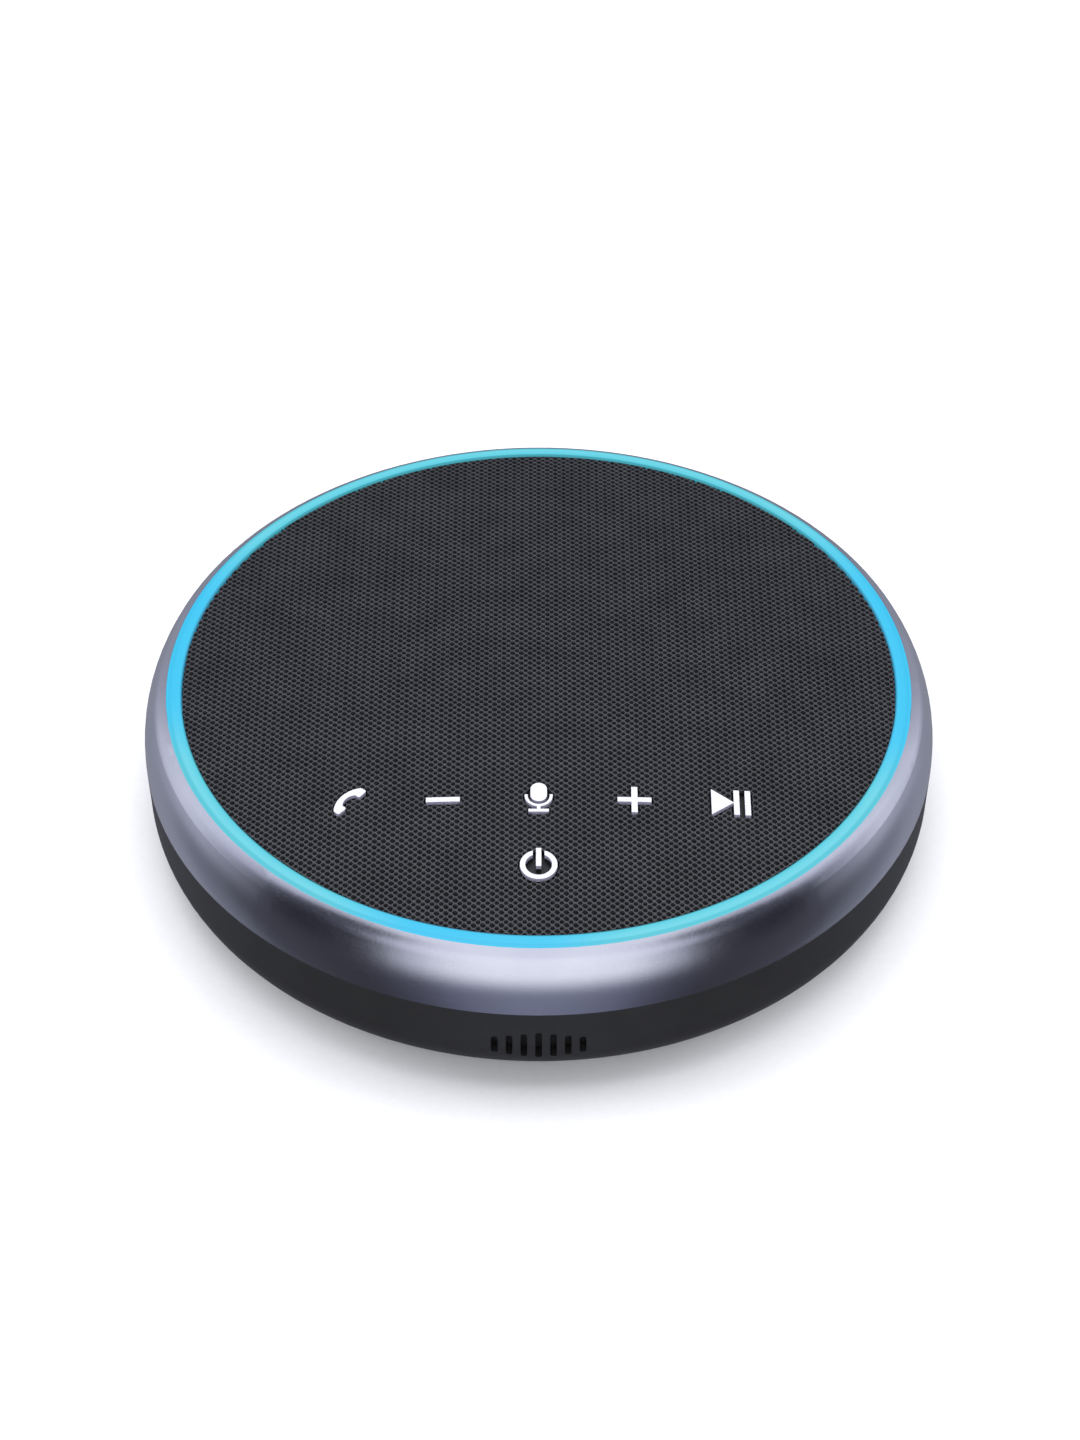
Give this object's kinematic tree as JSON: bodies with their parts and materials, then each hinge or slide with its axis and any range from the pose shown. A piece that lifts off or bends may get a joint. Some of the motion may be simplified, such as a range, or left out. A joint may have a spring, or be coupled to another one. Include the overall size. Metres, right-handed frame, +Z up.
{
  "type": "conference speakerphone",
  "caption": "Round table-top conference speakerphone: a low puck with a domed perforated grille, lit ring, metal band, raised icon keys and a speaker driver inside.",
  "frame": {"origin": "on the table, at the centre of the foot ring", "axes": "+Z up along the puck's axis; the keys and the vent slots face -Y, the ports face +Y; +X to the right seen from the front"},
  "size_m": [0.125, 0.125, 0.0317],
  "materials": {
    "bowl_plastic": "fine matte moulding",
    "band_metal": "satin blue-grey",
    "light_guide": "lit cyan diffuser",
    "grille_metal": "matte black, fine staggered holes",
    "foot_rubber": "matte",
    "mesh_black": "fine bonded mesh",
    "inner_plastic": "moulded",
    "icon_white": "white icon on a dark flange",
    "switch_stem": "moulded",
    "board_green": "solder mask",
    "led_lens": "clear lens on white package",
    "flex_film": "amber film",
    "chip_black": "moulded epoxy",
    "shield_steel": "stamped",
    "jack_plastic": "moulded",
    "connector_cream": "moulded",
    "capacitor_can": "drawn can",
    "screw_steel": "zinc plated",
    "magnet_plated": "plated",
    "cone_paper": "pressed pulp",
    "coil_copper": "enamelled copper",
    "surround_rubber": "soft, matte",
    "spider_cloth": "resin-treated cloth",
    "battery_foil": "foil pouch",
    "pad_foam": "foam tape",
    "lead_sleeve": "PVC sleeve"
  },
  "bodies": {
    "housing": {"base_housing": "bowl_plastic", "metal_band": "band_metal", "light_ring": "light_guide", "grille": "grille_metal", "acoustic_mesh": "mesh_black", "vent_mesh": "mesh_black", "rubber_foot": "foot_rubber", "mid_frame": "inner_plastic", "grille_frame": "inner_plastic", "led_board": "board_green", "key_board": "board_green", "main_board": "board_green", "leds": "led_lens", "led_jumper": "flex_film", "ribbon_cable": "flex_film", "processor": "chip_black", "amplifier_chip": "chip_black", "inductors": "chip_black", "switch_bodies": "chip_black", "driver_terminals": "chip_black", "wireless_module": "shield_steel", "usb_c_port": "shield_steel", "microphones": "shield_steel", "driver_frame": "shield_steel", "audio_jack": "jack_plastic", "battery_connector": "connector_cream", "speaker_connector": "connector_cream", "ribbon_connectors": "connector_cream", "capacitors": "capacitor_can", "housing_screws": "screw_steel", "main_board_screws": "screw_steel", "key_board_screws": "screw_steel", "driver_screws": "screw_steel", "driver_magnet": "magnet_plated", "driver_yoke": "magnet_plated", "driver_top_plate": "magnet_plated", "driver_surround": "surround_rubber", "driver_gasket": "surround_rubber", "microphone_boots": "surround_rubber", "driver_spider": "spider_cloth", "battery": "battery_foil", "battery_pad": "pad_foam", "battery_leads": "lead_sleeve", "speaker_leads": "lead_sleeve"},
    "call_button": {"call_key": "icon_white", "call_plunger": "switch_stem"},
    "volume_down_button": {"volume_down_key": "icon_white", "volume_down_plunger": "switch_stem"},
    "mic_mute_button": {"mic_mute_key": "icon_white", "mic_mute_plunger": "switch_stem"},
    "volume_up_button": {"volume_up_key": "icon_white", "volume_up_plunger": "switch_stem"},
    "play_pause_button": {"play_pause_key": "icon_white", "play_pause_plunger": "switch_stem"},
    "power_button": {"power_key": "icon_white", "power_plunger": "switch_stem"},
    "diaphragm": {"driver_cone": "cone_paper", "driver_dust_cap": "cone_paper", "voice_coil": "coil_copper"}
  },
  "joints": [
    {"name": "call_press", "type": "slide", "parent": "housing", "child": "call_button", "axis": [0, 0, -1], "range_m": [0, 0.0003], "stiffness_N_per_m": 4000},
    {"name": "volume_down_press", "type": "slide", "parent": "housing", "child": "volume_down_button", "axis": [0, 0, -1], "range_m": [0, 0.0003], "stiffness_N_per_m": 4000},
    {"name": "mic_mute_press", "type": "slide", "parent": "housing", "child": "mic_mute_button", "axis": [0, 0, -1], "range_m": [0, 0.0003], "stiffness_N_per_m": 4000},
    {"name": "volume_up_press", "type": "slide", "parent": "housing", "child": "volume_up_button", "axis": [0, 0, -1], "range_m": [0, 0.0003], "stiffness_N_per_m": 4000},
    {"name": "play_pause_press", "type": "slide", "parent": "housing", "child": "play_pause_button", "axis": [0, 0, -1], "range_m": [0, 0.0003], "stiffness_N_per_m": 4000},
    {"name": "power_press", "type": "slide", "parent": "housing", "child": "power_button", "axis": [0, 0, -1], "range_m": [0, 0.0003], "stiffness_N_per_m": 4000},
    {"name": "cone_stroke", "type": "slide", "parent": "housing", "child": "diaphragm", "axis": [0, 0, 1], "range_m": [-0.0008, 0.0008], "stiffness_N_per_m": 1500, "deforming": ["driver_surround", "driver_spider"]}
  ]
}
